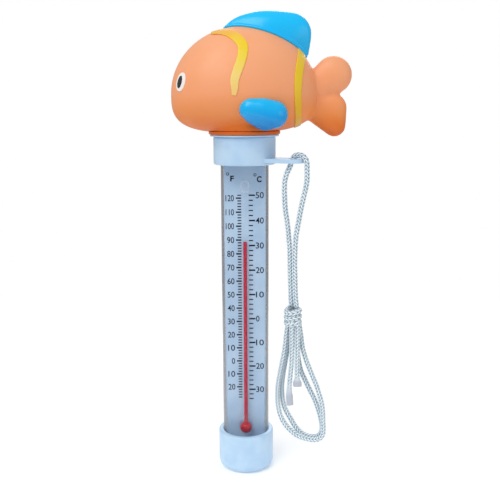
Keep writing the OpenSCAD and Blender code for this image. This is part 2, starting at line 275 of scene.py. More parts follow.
def hold(*pieces):
    """Selects only these pieces and makes the first one active."""
    let_go()
    for piece in pieces:
        piece.select_set(True)
    bpy.context.view_layer.objects.active = pieces[0]
    return pieces[0]


def named(name):
    """The active object under its final name, with its place in its mesh."""
    bpy.ops.object.transform_apply(location=True, rotation=True, scale=True)
    piece = bpy.context.object
    piece.name = piece.data.name = name
    return piece


def modify(piece, kind, **settings):
    """Adds a modifier and applies it."""
    hold(piece)
    modifier = piece.modifiers.new(kind.lower(), kind)
    for key, value in settings.items():
        setattr(modifier, key, value)
    bpy.ops.object.modifier_apply(modifier=modifier.name)
    return piece


def open_mesh(piece):
    """Edit mode, with the whole mesh selected."""
    hold(piece)
    bpy.ops.object.mode_set(mode="EDIT")
    bpy.ops.mesh.select_all(action="SELECT")


def face_out(piece):
    """Merges doubled vertices and turns all faces outwards."""
    open_mesh(piece)
    bpy.ops.mesh.remove_doubles(threshold=0.001 * MM)
    bpy.ops.mesh.normals_make_consistent(inside=False)
    bpy.ops.object.mode_set(mode="OBJECT")
    return piece


def smooth(piece, angle=35):
    """Smooth shading, with edges sharper than the angle kept crisp."""
    hold(piece)
    bpy.ops.object.shade_smooth_by_angle(angle=math.radians(angle))
    return piece


# %% Turned parts
def turned(name, stations, centre=(0, 0), sides=96, edge=0.0):
    """A lathe-turned piece. Stations are (radius, height) along its profile, and edge rounds its corners."""
    let_go()
    radius, height = stations[0]
    bpy.ops.mesh.primitive_circle_add(vertices=sides, radius=radius, location=(*centre, height))
    open_mesh(bpy.context.object)
    for next_radius, next_height in stations[1:]:
        rise = {"value": (0, 0, next_height - height)}
        bpy.ops.mesh.extrude_edges_move(TRANSFORM_OT_translate=rise)
        growth = next_radius / radius
        bpy.ops.transform.resize(value=(growth, growth, 1), center_override=(*centre, next_height))
        radius, height = next_radius, next_height
    bpy.ops.mesh.select_all(action="SELECT")
    bpy.ops.mesh.remove_doubles(threshold=0.001 * MM)
    bpy.ops.mesh.fill_holes(sides=0)
    bpy.ops.mesh.select_all(action="SELECT")
    bpy.ops.mesh.normals_make_consistent(inside=False)
    bpy.ops.object.mode_set(mode="OBJECT")
    piece = named(name)
    if edge:
        modify(piece, "BEVEL", width=edge, segments=3, limit_method="ANGLE", angle_limit=math.radians(40))
    return smooth(piece)


def arc(middle, radius, start, end, steps):
    """Stations along a round stretch. Angles are in degrees, and 0 points away from the axis."""
    return [
        (middle[0] + radius * math.cos(angle), middle[1] + radius * math.sin(angle))
        for angle in np.radians(np.linspace(start, end, steps))
    ]


# %% Soft lumps
def ball(place, radius, scale=(1, 1, 1), segments=48):
    let_go()
    bpy.ops.mesh.primitive_uv_sphere_add(
        segments=segments, ring_count=segments // 2, radius=radius, location=place, scale=scale
    )
    return bpy.context.object


def joined(pieces):
    hold(*pieces)
    if len(pieces) > 1:
        bpy.ops.object.join()
    return bpy.context.object


def skin_over(balls):
    """The tight skin around a few balls."""
    joined(balls)
    bpy.ops.object.transform_apply(location=True, rotation=True, scale=True)
    open_mesh(bpy.context.object)
    bpy.ops.mesh.convex_hull()
    bpy.ops.object.mode_set(mode="OBJECT")
    return bpy.context.object


def melted(piece, grain, strokes, share=0.5):
    """One closed skin with its seams smoothed over."""
    modify(piece, "REMESH", mode="VOXEL", voxel_size=grain)
    modify(piece, "SMOOTH", factor=share, iterations=strokes)
    hold(piece)
    bpy.ops.object.shade_smooth()
    return piece


# %% Cylinders, cuts and unions
def rod(radius, length, middle, sides=64):
    """An upright cylinder, as raw material or as a cutter."""
    let_go()
    bpy.ops.mesh.primitive_cylinder_add(vertices=sides, radius=radius, depth=length, location=middle)
    return bpy.context.object


def boolean(piece, cutter, operation):
    """Cuts with the cutter, or joins it on, and takes it away."""
    modify(piece, "BOOLEAN", object=cutter, operation=operation, solver="EXACT")
    bpy.data.objects.remove(cutter)
    return piece


def stands_for(piece, finish, body, slot, *nodes):
    """The piece gets its finish, rides on a body and stands for these CAD nodes. The slot is not used."""
    finish.wrap(piece)
    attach(piece, body)
    if nodes:
        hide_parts(*nodes)
    print(piece.name, "has", len(piece.data.polygons), "faces")


# %% [markdown]
# ## The cord
# A 2.8 mm braided cord goes through the lug's hole, hangs down double to a knot, and ends in two loops and
# two heat-cut tails. A plain curve with a round bevel would look like a pipe. Here each stretch is a tube
# whose rings carry the braid: six columns of slanted stitches, which lean left and right by turns, so that
# they meet in chevrons. The ring's radius follows the stitches, so the braid is real in outline and in light.

# %% Routes of the cord, counted from the middle of the lug's hole, in mm
CORD_D = 2.8 * MM
cap_low, cap_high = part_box("upper_cap")
LUG_TURN = math.radians(-30)
LUG_REACH = 26.4 * MM
LUG_MIDDLE_UP = 2.4 * MM
lug_hole = Vector(
    (LUG_REACH * math.cos(LUG_TURN), LUG_REACH * math.sin(LUG_TURN), cap_low.z + LUG_MIDDLE_UP)
)

UNDER_ROUTE = [
    (0, 0, 0), (-0.6, 0, -1.8), (-1.5, 0, -4), (-2.4, 0, -5.9), (-3.1, 0, -8.1), (-3.5, 0, -10.5),
    (-3.6, 0, -14.2), (-3.5, 0, -18), (-3.1, 0, -23.9), (-2.1, 0, -30.5), (-1.4, 0, -37.2),
    (-0.9, -0.1, -43.8), (-0.7, -0.2, -50.5), (-0.5, -0.4, -58.9), (-0.3, -0.6, -66.5), (0.1, -0.6, -72),
]  # fmt: skip
OVER_ROUTE = [
    (0, 0, 0), (0.7, -0.4, 1.7), (1.9, -1.1, 2.6), (3.5, -1.9, 2.8), (5.1, -2.8, 2.3), (6.4, -3.5, 0.9),
    (6.9, -3.8, -1.2), (7, -3.9, -4.1), (7, -3.9, -8.5), (6.5, -3.9, -12.5), (5.4, -3.9, -17.3),
    (4.1, -3.8, -23.4), (3, -3.7, -29.9), (1.9, -3.6, -36.5), (1.5, -3.5, -43.1), (1.4, -3.5, -49.8),
    (1.6, -3.4, -58.2), (1.9, -3.3, -65.8), (2.5, -3.3, -72),
]  # fmt: skip
OUTER_LOOP = [
    (-0.1, -3.2, -77), (-1.7, -3.2, -81), (-2.6, -3.2, -86), (-3.3, -3.2, -93), (-4.7, -3.2, -101.2),
    (-5.8, -3.2, -107), (-6.7, -3.2, -113), (-6.9, -3.2, -119), (-6.5, -3.2, -123.7),
    (-5.5, -3.2, -128.5), (-3.4, -3.2, -133), (-0.6, -3.2, -136.6), (2.8, -3.2, -139.5),
    (7.1, -3.2, -141.4), (11.1, -3.2, -142.2), (14.2, -3.2, -141.9), (16.1, -3.2, -140),
    (16.6, -3.2, -137.1), (16.4, -3.2, -132.2), (16.2, -3.2, -127.4), (15.6, -3.2, -122.6),
    (14.3, -3.2, -117.8), (12.8, -3.2, -113.1), (10.9, -3.2, -108.4), (9, -3.2, -103.6),
    (7.3, -3.2, -98.9), (5.7, -3.2, -93), (4.7, -3.2, -86), (3.9, -3.2, -81), (3.1, -3.2, -77),
]  # fmt: skip
INNER_LOOP = [
    (-0.1, -0.2, -77), (-0.9, -0.2, -86), (-1.9, -0.2, -95), (-3, -0.2, -102.3), (-3.9, -0.2, -108.2),
    (-4.5, -0.2, -114.2), (-4.2, -0.2, -120.2), (-3.3, -0.2, -125), (-1.8, -0.2, -128.6),
    (0.2, -0.2, -132.3), (2.2, -0.2, -135.9), (4.8, -0.2, -139.2), (8, -0.2, -141.4),
    (11.4, -0.2, -142.1), (14.1, -0.2, -141.7), (15.9, -0.2, -139.7), (16.2, -0.2, -136),
    (15.3, -0.2, -131.2), (14.1, -0.2, -126.9), (12.6, -0.2, -122.6), (10.7, -0.2, -118.4),
    (8.7, -0.2, -114.3), (6.8, -0.2, -110.1), (5.1, -0.2, -106), (4, -0.2, -101), (3.3, -0.2, -95),
    (2.9, -0.2, -86), (2.9, -0.2, -77),
]  # fmt: skip
LONG_TAIL = [
    (-0.1, -6.1, -77), (0.1, -6.2, -85), (0.1, -6.2, -94.3), (-0.1, -6.2, -100.1), (-0.6, -6.2, -106),
    (-1, -6.2, -110.6), (-1.1, -6.2, -115.3), (-0.7, -6.2, -122),
]  # fmt: skip
SHORT_TAIL = [
    (2.8, -6.1, -77), (2.9, -6.2, -85), (2.9, -6.2, -94.3), (2.8, -6.2, -100.2), (2.8, -6.2, -106),
    (3, -6.2, -112.2),
]  # fmt: skip
print("the middle of the lug's hole in mm:", [round(k / MM, 1) for k in lug_hole])


# %% A smooth line through a route
def smooth_line(route, step):
    """Points a step apart along the curve that passes through every point of the route."""
    points = np.array([route[0], *route, route[-1]], float)
    points[0] = 2 * points[1] - points[2]
    points[-1] = 2 * points[-2] - points[-3]
    t = np.linspace(0, 1, 40, endpoint=False)[:, None]
    stretches = []
    for a, b, c, d in zip(points, points[1:], points[2:], points[3:]):
        bend = (2 * a - 5 * b + 4 * c - d) * t**2 + (3 * b - a - 3 * c + d) * t**3
        stretches.append(0.5 * (2 * b + (c - a) * t + bend))
    fine = np.vstack([*stretches, points[-2:-1]])
    far = np.concatenate([[0], np.cumsum(np.linalg.norm(np.diff(fine, axis=0), axis=1))])
    count = max(4, round(far[-1] / step))
    return np.column_stack([np.interp(np.linspace(0, far[-1], count + 1), far, fine[:, k]) for k in range(3)])


def frames_along(line):
    """Unit vectors along the line and two across it, which don't twist from ring to ring."""
    along = np.gradient(line, axis=0)
    along /= np.linalg.norm(along, axis=1, keepdims=True)
    side = np.cross(along[0], (0, 1, 0) if abs(along[0][1]) < 0.9 else (1, 0, 0))
    sides = []
    for direction in along:
        side = side - direction * (side @ direction)
        side = side / np.linalg.norm(side)
        sides.append(side)
    sides = np.array(sides)
    return along, sides, np.cross(along, sides)


# %% The braid's relief
COLUMNS = 6
STITCH = 1.7 * MM
RELIEF = 0.34 * MM


def crest(u, v):
    """How high the stitch is, from 0 in the gaps to 1, at u turns round and v stitches along."""
    column = COLUMNS * u
    across = column % 1
    lean = np.where(np.floor(column) % 2 == 0, across, 1 - across)
    along = (v + lean) % 1 - 0.5
    ridge = np.sqrt(np.clip(1 - (1.85 * along) ** 2, 0, 1))
    return ridge * np.sqrt(np.clip(1 - (1.75 * (across - 0.5)) ** 2, 0, 1))


# %% One stretch of cord
RINGS_EVERY = 0.24 * MM
CORD_SIDES = 42
FUSED_HEIGHT = 0.82  # of the braid's relief, where heat has melted it
FLATTENED = 0.35  # how much thinner a widened end gets


def braided(name, route, melt=0.0, flare=0.0):
    """A braided tube along a route. Its last stretch, melt long, is fused, and flare widens the end."""
    line = smooth_line([lug_hole + Vector(point) * MM for point in route], RINGS_EVERY)
    _, side, out = frames_along(line)
    far = np.concatenate([[0], np.cumsum(np.linalg.norm(np.diff(line, axis=0), axis=1))])
    u = np.linspace(0, 1, CORD_SIDES, endpoint=False)[None, :]
    v = (far / STITCH)[:, None]
    fused = np.clip((far - far[-1] + melt) / max(melt, MM) * 1.6, 0, 1)[:, None] if melt else 0 * v
    height = crest(u, v) * (1 - fused) + FUSED_HEIGHT * fused
    radius = CORD_D / 2 - RELIEF * (1 - height)
    wide = 1 + flare * fused**3
    thin = 1 - FLATTENED * flare * fused**3
    angle = 2 * math.pi * u
    rings = (
        line[:, None, :]
        + (radius * wide * np.cos(angle))[..., None] * side[:, None, :]
        + (radius * thin * np.sin(angle))[..., None] * out[:, None, :]
    )
    count = len(line)
    corner = np.arange(count * CORD_SIDES).reshape(count, CORD_SIDES)
    after = np.roll(corner, -1, axis=1)
    walls = np.stack([corner[:-1], after[:-1], after[1:], corner[1:]], axis=-1).reshape(-1, 4)
    ends = [corner[0][::-1].tolist(), corner[-1].tolist()]
    mesh = bpy.data.meshes.new(name)
    mesh.from_pydata(rings.reshape(-1, 3).tolist(), [], walls.tolist() + ends)
    piece = add_object(name, mesh)
    unwrap_braid(mesh, count, v[:, 0])
    melted_share = mesh.attributes.new("fused", "FLOAT", "POINT")
    melted_share.data.foreach_set("value", np.repeat(fused[:, 0], CORD_SIDES).astype(np.float32))
    face_out(piece)
    hold(piece)
    bpy.ops.object.shade_smooth()
    print(name, "is", round(far[-1] / MM), "mm long")
    return piece, line


# %% UVs of the braid
def unwrap_braid(mesh, count, v):
    """UVs that count turns round in u and stitches along in v, so that the finish can repeat the braid."""
    u = np.arange(CORD_SIDES + 1) / CORD_SIDES
    low_u, high_u = np.tile(u[:-1], count - 1), np.tile(u[1:], count - 1)
    low_v, high_v = np.repeat(v[:-1], CORD_SIDES), np.repeat(v[1:], CORD_SIDES)
    corners = np.stack([low_u, low_v, high_u, low_v, high_u, high_v, low_u, high_v], axis=-1)
    layer = mesh.uv_layers.new(name="braid")
    flat = np.zeros(len(mesh.loops) * 2)
    flat[: corners.size] = corners.ravel()
    layer.data.foreach_set("uv", flat.astype(np.float32))


# %% White cord finish
def cord_finish():
    cord = Finish("white_braid", "#eef4f8", 0.62, Sheen_Weight=0.25, Sheen_Roughness=0.5)
    uv = cord.node("UVMap", {"uv_map": "braid"})
    u, v = (cord.node("SeparateXYZ", {}, {0: uv}, output=name) for name in "XY")
    column = u * COLUMNS
    across = column.part("FRACT")
    odd = column.part("FLOOR") % 2
    lean = odd * (1 - across) + (1 - odd) * across
    along = ((v + lean).part("FRACT") - 0.5).part("ABSOLUTE")
    side = (across - 0.5).part("ABSOLUTE")
    fused = cord.node("Attribute", {"attribute_name": "fused"}, output="Fac")
    yarns = (along * (2 * math.pi * 5)).part("SINE")
    gap_shade = cord.ramp(((along * 2) ** 3 + (side * 1.95) ** 6) * (1 - fused), 0.12, 0.8)
    soiling = cord.noise(2.5 * MM)
    fibre = cord.mix(cord.ramp(soiling, 0.3, 0.8), "#f4fcff", "#e0f0fa")
    # The crevices between the stitches are mixed towards a dark grey blue: a painted shade in the braid's
    # gaps.
    fibre = cord.mix(gap_shade, fibre, "#4c7690")
    cord.set("Base Color", cord.mix(fused, fibre, "#b4bcc8"))
    cord.set("Roughness", 0.68 - fused * 0.33)
    cord.bump((yarns * 0.4 - gap_shade) * (1 - fused) + soiling * 0.3, 0.4, 0.12 * MM)
    return cord.report()


white_braid = cord_finish()

# %% [markdown]
# ## The knot
# The knot is the cord's own turns round the strands. A real knot could be traced strand by strand, but from
# outside only its turns are seen, so it is one more braided tube, along a leaning helix round the bundle.

# %% The knot
KNOT_MIDDLE = (0.7, -3, -76.4)
KNOT_REACH = (3.3, 3.9, 3.9)
KNOT_TURNS, KNOT_START, KNOT_TILT = 2.8, 1.1, 1.1  # turns, first angle in radians, slope of a turn in mm
knot_route = [
    (
        KNOT_MIDDLE[0] + KNOT_REACH[0] * math.cos(angle),
        KNOT_MIDDLE[1] + KNOT_REACH[1] * math.sin(angle),
        KNOT_MIDDLE[2] + KNOT_REACH[2] * (1 - 2 * share) + KNOT_TILT * math.cos(angle),
    )
    for share in np.linspace(0, 1, 40)
    for angle in [2 * math.pi * KNOT_TURNS * share + KNOT_START]
]
knot, _ = braided("knot_turns", knot_route)
stands_for(knot, white_braid, "housing", "white_cord", "cord_knot")

# %% The six stretches of cord
# Name, route, length in metres, far end, the stretch that is fused, and how much its end is widened
STRETCHES = [
    ("under_strand", UNDER_ROUTE, 0.073, "knot", 0, 0),
    ("over_strand", OVER_ROUTE, 0.083, "knot", 0, 0),
    ("outer_loop", OUTER_LOOP, 0.146, "knot", 0, 0),
    ("inner_loop", INNER_LOOP, 0.143, "knot", 0, 0),
    ("long_tail", LONG_TAIL, 0.045, "bare", 13 * MM, 0.3),
    ("short_tail", SHORT_TAIL, 0.035, "bare", 6 * MM, 0.6),
]
for name, route, length, far_end, melt, flare in STRETCHES:
    stretch, line = braided("cord_" + name + "_braid", route, melt, flare)
    stands_for(stretch, white_braid, "housing", "white_cord", "cord_" + name)
    line[::4].tolist() + [line[-1].tolist()]

# %% [markdown]
# ## The floor
# A pale floor catches a soft shadow. A floor that runs to the horizon draws a grey line behind the fish, so
# this one fades into the white dome at arm's length from the object.

# %% Floor
FLOOR_SIZE = 2
FADE_FROM, FADE_TO = 0.2, 0.45
FLOOR_GLOW = 0.16
let_go()
bpy.ops.mesh.primitive_plane_add(size=FLOOR_SIZE)
floor = named("floor")
floor_finish = Finish("pale_paper", "#fbfcfd", 0.9)
paper = floor_finish.noise(20 * MM)
floor_finish.set("Base Color", floor_finish.mix(paper, "#ffffff", "#f8fafc"))
floor_finish.set("Emission Color", (1, 1, 1, 1))
floor_finish.set("Emission Strength", FLOOR_GLOW)
reach = floor_finish.node("VectorMath", {"operation": "LENGTH"}, {0: floor_finish.place()}, output="Value")
floor_finish.set("Alpha", 1 - floor_finish.ramp(reach, FADE_FROM, FADE_TO))
floor_finish.wrap(floor)
print("the floor fades out from", FADE_FROM, "to", FADE_TO, "m")

# %% [markdown]
# ## The caps
# Both caps are injection-moulded in a soft white plastic with a cool tint. They are turned parts, so each is
# a circle extruded along its profile, with its corners bevelled. The lug for the cord is a flat tab with a
# round end, cut with a drill and joined to the skirt.


# %% White plastic
def plastic_finish(name, light, dark):
    plastic = Finish(name, light, 0.34, Specular_IOR_Level=0.45, Coat_Weight=0.08)
    cloud = plastic.noise(9 * MM, 2)
    # Below 4 mm, at the foot of the lower cap, the colour is mixed a quarter of the way to a grey blue: a
    # painted shade where the cap stands on the floor.
    low = plastic.ramp(plastic.axis("Z"), 0.004, 0.0)
    shade = plastic.mix(plastic.ramp(cloud, 0.35, 0.7), light, dark)
    plastic.set("Base Color", plastic.mix(low * 0.25, shade, "#9fb4c6"))
    plastic.set("Roughness", 0.3 + cloud * 0.12)
    plastic.bump(plastic.noise(0.5 * MM, 2) + cloud * 0.6, 0.05, 0.1 * MM)
    return plastic.report()


white_plastic = plastic_finish("moulded_white_plastic", "#bddaf3", "#b1d1ee")

# %% Lower cap
cap_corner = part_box("bottom_cap")[1]
tube_low, tube_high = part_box("tube")
cap_radius, cap_rim = cap_corner.x, cap_corner.z
tube_radius = tube_high.x
CAP_ROUND = 4 * MM
CAP_FLOOR = 2.4 * MM
FIT = 0.05 * MM
socket_r = tube_radius + FIT
bottom_stations = [
    (0.6 * MM, 0.35 * MM),
    (8.6 * MM, 0.35 * MM),
    (9.0 * MM, 0),
    *arc((cap_radius - CAP_ROUND, CAP_ROUND), CAP_ROUND, -90, 0, 12),
    *arc((cap_radius - 1.1 * MM, cap_rim - 1.1 * MM), 1.1 * MM, 0, 90, 6),
    (socket_r + 0.3 * MM, cap_rim),
    (socket_r, cap_rim - 0.3 * MM),
    (socket_r, CAP_FLOOR),
    (0.6 * MM, CAP_FLOOR),
]
lower_cap = turned("lower_cap", bottom_stations)
stands_for(lower_cap, white_plastic, "housing", "white_plastic", "bottom_cap")

# %% Upper cap
UPPER_R = 15.5 * MM
FLANGE_T = 0.9 * MM
foot_low, foot_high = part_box("float_foot")
cap_bottom = cap_low.z
flange_r = -cap_low.x
flange_top = foot_low.z - 0.1 * MM
skirt_top = flange_top - FLANGE_T
SPIGOT_R, SPIGOT_WALL, LIP = 10 * MM, 2 * MM, 0.7 * MM
spigot_top = cap_high.z
upper_stations = [
    (8 * MM, tube_high.z + 1.4 * MM),
    (socket_r, tube_high.z + 1.4 * MM),
    (socket_r, cap_bottom + 0.3 * MM),
    (socket_r + 0.3 * MM, cap_bottom),
    *arc((UPPER_R - 0.9 * MM, cap_bottom + 0.9 * MM), 0.9 * MM, -90, 0, 6),
    *arc((UPPER_R - 0.9 * MM, skirt_top - 0.9 * MM), 0.9 * MM, 0, 55, 4),
    (UPPER_R - 0.5 * MM, skirt_top),
    (flange_r - 0.25 * MM, skirt_top),
    *arc((flange_r - 0.3 * MM, skirt_top + 0.45 * MM), 0.3 * MM, -60, 60, 5),
    (flange_r - 0.45 * MM, flange_top),
    (SPIGOT_R, flange_top),
    (SPIGOT_R, spigot_top - 1.6 * MM),
    (SPIGOT_R + LIP, spigot_top - 1.5 * MM),
    (SPIGOT_R + LIP, spigot_top - 0.5 * MM),
    (SPIGOT_R - 0.3 * MM, spigot_top),
    (SPIGOT_R - SPIGOT_WALL, spigot_top),
    (SPIGOT_R - SPIGOT_WALL, flange_top),
    (0.6 * MM, flange_top),
    (0.6 * MM, flange_top - 1.1 * MM),
    (8 * MM, flange_top - 1.1 * MM),
]
upper_cap = turned("upper_cap_turned", upper_stations)
print("the flange is", round(2 * flange_r / MM, 1), "mm across")

# %% The lug and its hole
LUG_W, LUG_T, HOLE_D = 11.6 * MM, 2 * MM, 5 * MM
LUG_ROOT = 14 * MM
let_go()
bpy.ops.mesh.primitive_cube_add(
    size=1,
    location=((LUG_ROOT + LUG_REACH) / 2, 0, lug_hole.z),
    scale=(LUG_REACH - LUG_ROOT, LUG_W, LUG_T),
)
tab = named("tab")
lug_end = (LUG_REACH, 0, lug_hole.z)
rod(LUG_W / 2, LUG_T, lug_end)
lug = boolean(tab, named("tab_end"), "UNION")
rod(HOLE_D / 2, 3 * LUG_T, lug_end)
boolean(lug, named("drill"), "DIFFERENCE")
lug.rotation_euler.z = LUG_TURN
hold(lug)
named("lug")
modify(lug, "BEVEL", width=0.45 * MM, segments=3, limit_method="ANGLE", angle_limit=math.radians(50))
boolean(upper_cap, lug, "UNION")
smooth(upper_cap, 30)
stands_for(upper_cap, white_plastic, "housing", "white_plastic", "upper_cap")

# %% [markdown]
# ## The tube and the glass
# Clear parts are seen by their edges. Where the eye looks along the wall, the tube goes grey, and face on it
# almost disappears. That is an alpha that follows the Layer Weight node, which costs nothing to render and
# keeps the card behind it sharp.


# %% Clear finishes
def clear_finish(name, tint, face, edge, start, end, roughness=0.06):
    """See-through face on, and solid where the surface turns away from the eye."""
    clear = Finish(name, tint, roughness, Specular_IOR_Level=0.6)
    away = clear.node("LayerWeight", {}, {"Blend": 0.5}, output="Facing")
    haze = clear.noise(4 * MM, 3, (1, 1, 0.15))
    clear.set("Alpha", face + clear.ramp(away, start, end) * (edge - face) + haze * 0.01)
    clear.set("Roughness", roughness + haze * 0.06)
    clear.bump(haze, 0.04, 0.1 * MM)
    return clear.report()


outer_wall = clear_finish("clear_tube_outside", "#70757f", 0.01, 0.75, 0.44, 0.62)
inner_wall = clear_finish("clear_tube_inside", "#7a7f8c", 0.01, 0.5, 0.72, 0.9)
clear_glass = clear_finish("clear_stem_glass", "#e4ecf5", 0.02, 0.5, 0.6, 1.0, 0.04)
clear_bore = clear_finish("clear_stem_bore", "#d8e2ee", 0.0, 0.12, 0.7, 1.0, 0.04)
clear_glue = clear_finish("clear_set_adhesive", "#f2f6fb", 0.05, 0.42, 0.3, 0.95, 0.05)


# %% Light and linings of clear pieces
def let_light_through(piece):
    """Clear walls cast no shadow of their own, so that what they hold is lit as in the open."""
    piece.visible_shadow = False
    piece.visible_diffuse = False


def line_inside(piece, finish, inside):
    """Gives the faces whose middle passes the test a second finish."""
    piece.data.materials.append(finish.material)
    for face in piece.data.polygons:
        face.material_index = 1 if inside(face.center) else 0


# %% Tube
TUBE_WALL = 1.2 * MM
tube_inside = tube_radius - TUBE_WALL
tube_stations = [
    (tube_inside, tube_low.z),
    (tube_radius, tube_low.z),
    (tube_radius, tube_high.z),
    (tube_inside, tube_high.z),
    (tube_inside, tube_low.z),
]
tube = turned("clear_tube", tube_stations, sides=160, edge=0.15 * MM)
stands_for(tube, outer_wall, "housing", "clear_plastic", "tube")
line_inside(tube, inner_wall, lambda at: math.hypot(at.x, at.y) < tube_inside + TUBE_WALL / 4)
let_light_through(tube)

# %% [markdown]
# ## The glass thermometer
# A glass thermometer is drawn from a tube, with a bulb blown at its lower end and its tip closed. It is
# turned like the caps, and its bore is turned too and cut out of it. The bore ends below the drop of adhesive
# at the tip, because a ray that has crossed eight clear walls ends there, and the ninth shows black.

# %% Glass stem with its bulb and its closed tip
glass_low, glass_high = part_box("glass_stem")
STEM_Y = -0.5 * MM
stem_centre = (0, STEM_Y)
BULB_R, STEM_R, BORE_R = glass_high.x, 1.9 * MM, 1.0 * MM
BULB_WALL = 0.2 * MM
bulb_z = glass_low.z + BULB_R
stem_top = glass_high.z
bore_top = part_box("tip_bead")[0].z
NECK_RISE = 6.1 * MM
neck_z = bulb_z + NECK_RISE
POLE = 0.02 * MM
glass_stations = [
    (POLE, bulb_z - BULB_R),
    *arc((0, bulb_z), BULB_R, -87, 52, 22),
    (STEM_R - 0.15 * MM, bulb_z + 3.5 * MM),
    (STEM_R - 0.1 * MM, bulb_z + 4.4 * MM),
    (STEM_R, bulb_z + 5.6 * MM),
    (STEM_R, stem_top),
    *arc((0, stem_top), STEM_R, 10, 87, 8),
    (POLE, stem_top + STEM_R),
]
bore_stations = [
    (POLE, bore_top),
    *arc((0, bore_top - BORE_R), BORE_R, 80, 0, 6),
    (BORE_R, bulb_z + 4.6 * MM),
    *arc((0, bulb_z), BULB_R - BULB_WALL, 66, -87, 22),
    (POLE, bulb_z - BULB_R + BULB_WALL),
]
glass = turned("glass_thermometer", glass_stations, stem_centre, sides=48)
bore = turned("bore", bore_stations, stem_centre, sides=48)
boolean(glass, bore, "DIFFERENCE")
smooth(glass, 50)
stands_for(glass, clear_glass, "housing", "clear_glass", "glass_stem", "stem_tip")


def in_bore(at):
    """True on the wall of the bore or of the hollow bulb."""
    in_stem = math.hypot(at.x, at.y - STEM_Y) < BORE_R + FIT and at.z < stem_top + STEM_R / 2
    return in_stem if at.z > bulb_z + BULB_R else (at - Vector((0, STEM_Y, bulb_z))).length < BULB_R - FIT


line_inside(glass, clear_bore, in_bore)
let_light_through(glass)

# %% [markdown]
# ## The spirit
# The red spirit fills the bulb and stands in the bore up to the reading, where it ends in a small hollow.
# The column gets longer as it warms. It has rings only at its two ends.


# %% Red finish
def spirit_finish():
    spirit = Finish("red_column_spirit", "#b80832", 0.2, Specular_IOR_Level=0.25)
    cloud = spirit.noise(3 * MM, 2)
    # Towards the column's sides, up to 1 mm out in x, the red is mixed towards a lighter pink: a painted
    # highlight along its edges.
    middle = spirit.ramp(spirit.axis("X").part("ABSOLUTE"), 0.0, 1.0 * MM)
    spirit.set("Base Color", spirit.mix(middle * 0.3 + cloud * 0.15, "#b4042c", "#c01040"))
    spirit.set("Roughness", 0.1 + cloud * 0.08)
    spirit.bump(cloud, 0.03, 0.05 * MM)
    return spirit.report()


red_spirit = spirit_finish()
red_bulb = mottled(
    "red_bulb_spirit", "#c80426", "#a8021c", 3 * MM, 0.06, 0.06, 0.04, 0.05 * MM, 2, Specular_IOR_Level=0.45
)

# %% Bulb of spirit
column_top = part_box("spirit_column")[1].z
SPIRIT_R = 0.95 * MM
LIQUID_R = BULB_R - BULB_WALL - FIT
bulb_stations = [
    (POLE, bulb_z - LIQUID_R),
    *arc((0, bulb_z), LIQUID_R, -87, 64, 20),
    (SPIRIT_R, bulb_z + 4.2 * MM),
    (SPIRIT_R, neck_z),
]
bulb = turned("bulb_of_spirit", bulb_stations, stem_centre, sides=48)
stands_for(bulb, red_bulb, "housing", "red_spirit", "bulb_spirit")

# %% Column of spirit
MENISCUS = 0.35 * MM
column_stations = [
    (SPIRIT_R, neck_z),
    (SPIRIT_R, column_top),
    (0.7 * SPIRIT_R, column_top - 0.6 * MENISCUS),
    (0.3 * SPIRIT_R, column_top - MENISCUS),
]
column = turned("column_of_spirit", column_stations, stem_centre, sides=32)
red_spirit.wrap(column)
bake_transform(column)
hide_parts("spirit_column")
print("the column is", round((column_top - neck_z) / MM, 1), "mm long at rest")

# %% [markdown]
# ## The beads of adhesive
# Two drops of clear adhesive hold the stem on the card. Real drops are never round, so each is a ball whose
# skin is pushed in and out by a cloud texture.


# %% Beads
def drop(name, place, radius, scale, lumps, node):
    """An uneven drop with its back cut flat by the card."""
    bead = ball(place, radius, scale, 64)
    named(name)
    clouds = bpy.data.textures.new(name + "_lumps", "CLOUDS")
    clouds.noise_scale = 1.6 * MM
    modify(bead, "DISPLACE", texture=clouds, strength=lumps, mid_level=0.5)
    card_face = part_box("scale_card")[0].y
    open_mesh(bead)
    bpy.ops.mesh.bisect(
        plane_co=(0, card_face - 0.02 * MM, 0), plane_no=(0, 1, 0), use_fill=True, clear_outer=True
    )
    bpy.ops.object.mode_set(mode="OBJECT")
    smooth(bead, 60)
    let_light_through(bead)
    stands_for(bead, clear_glue, "housing", "clear_adhesive", node)


drop("neck_drop", (0, STEM_Y, bulb_z + 5.6 * MM), 2.45 * MM, (1, 0.9, 0.8), 0.5 * MM, "neck_bead")
tip_low, tip_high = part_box("tip_bead")
tip_middle = (tip_low.z + tip_high.z) / 2
drop("tip_drop", (0, STEM_Y, tip_middle), 2.4 * MM, (1, 0.95, 1.3), 0.9 * MM, "tip_bead")

# %% [markdown]
# ## The scale card
# The card is a plain plate, so its CAD node stays. Its print is real geometry a twentieth of a millimetre
# thick: one small block for each degree mark, and numerals from the built-in font. A texture would need an
# image, and printed blocks stay sharp at any distance.


# %% Card finish
def card_finish():
    card = Finish("pale_card", "#b4cde6", 0.5)
    grain = card.noise(0.35 * MM, 4)
    cloud = card.noise(14 * MM, 2)
    shade = card.mix(card.ramp(cloud, 0.3, 0.7), "#b9d2ea", "#a9c4e0")
    card.set("Base Color", card.mix(grain * 0.35, shade, "#9db7d3"))
    card.set("Roughness", 0.42 + grain * 0.2)
    card.bump(grain, 0.12, 0.05 * MM)
    return card.report()


def ink_finish():
    ink = Finish("scale_ink", "#0a1020", 0.6, Specular_IOR_Level=0.1)
    wear = ink.noise(0.5 * MM)
    ink.set("Base Color", ink.mix(ink.ramp(wear, 0.4, 0.9), "#080d1c", "#1c2740"))
    ink.set("Roughness", 0.4 + wear * 0.2)
    return ink.report()


scale_ink = ink_finish()
card_finish().wrap(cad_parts["scale_card"])

